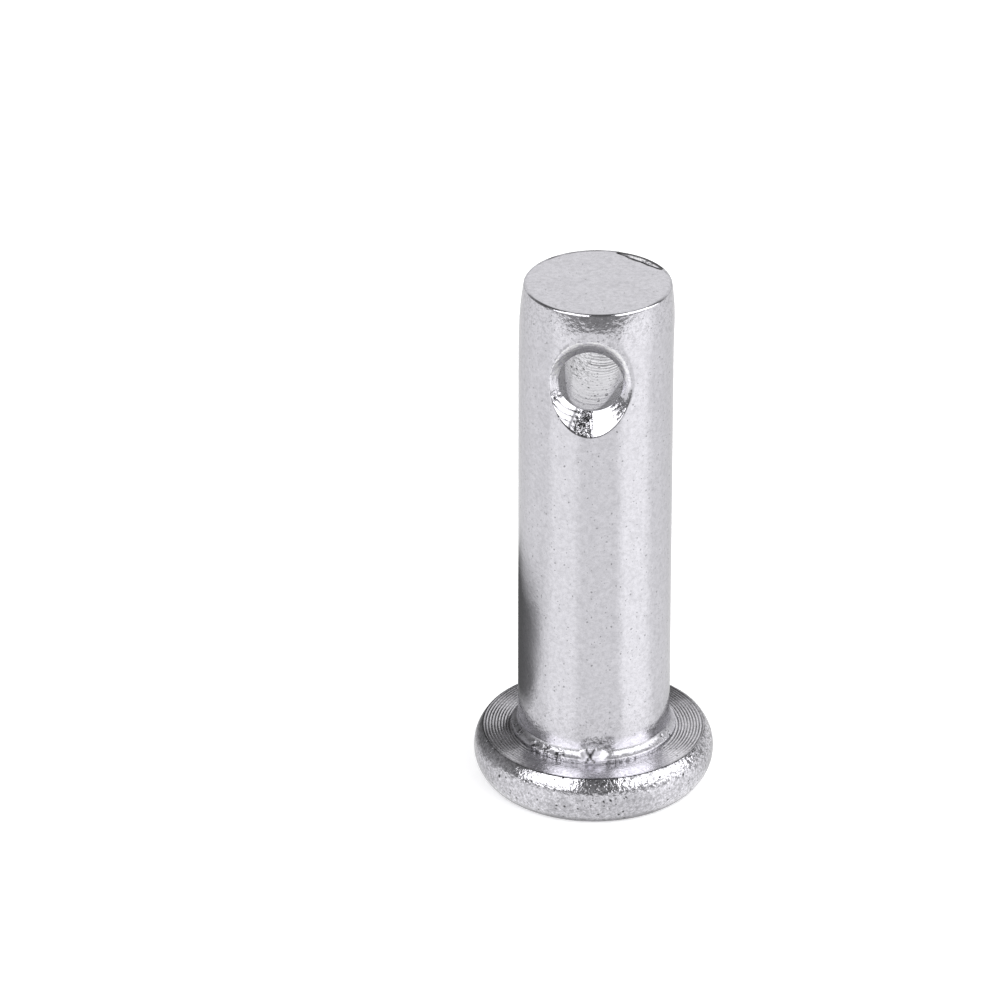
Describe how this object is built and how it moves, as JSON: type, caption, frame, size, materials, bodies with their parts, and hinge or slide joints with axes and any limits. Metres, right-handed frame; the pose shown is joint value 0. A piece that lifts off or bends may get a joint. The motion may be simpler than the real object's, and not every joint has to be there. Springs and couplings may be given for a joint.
{
  "type": "flat head clevis pin",
  "caption": "Short round steel pin with a flat disc head, a filleted root and a countersunk cross hole near its tip for a split pin; a removable pivot for clevises and linkages.",
  "frame": {"origin": "centre of the head's flat foot, on which the pin stands", "axes": "+Z along the pin from the head to the tip; the cross hole runs along Y, with the mouth that faces the viewer at -Y"},
  "size_m": [0.0078, 0.0078, 0.018],
  "materials": {
    "steel": "bright tumbled stainless steel, turned rings on the bearing face, fine pits"
  },
  "bodies": {
    "root": {"clevis_pin": "steel"}
  },
  "joints": []
}
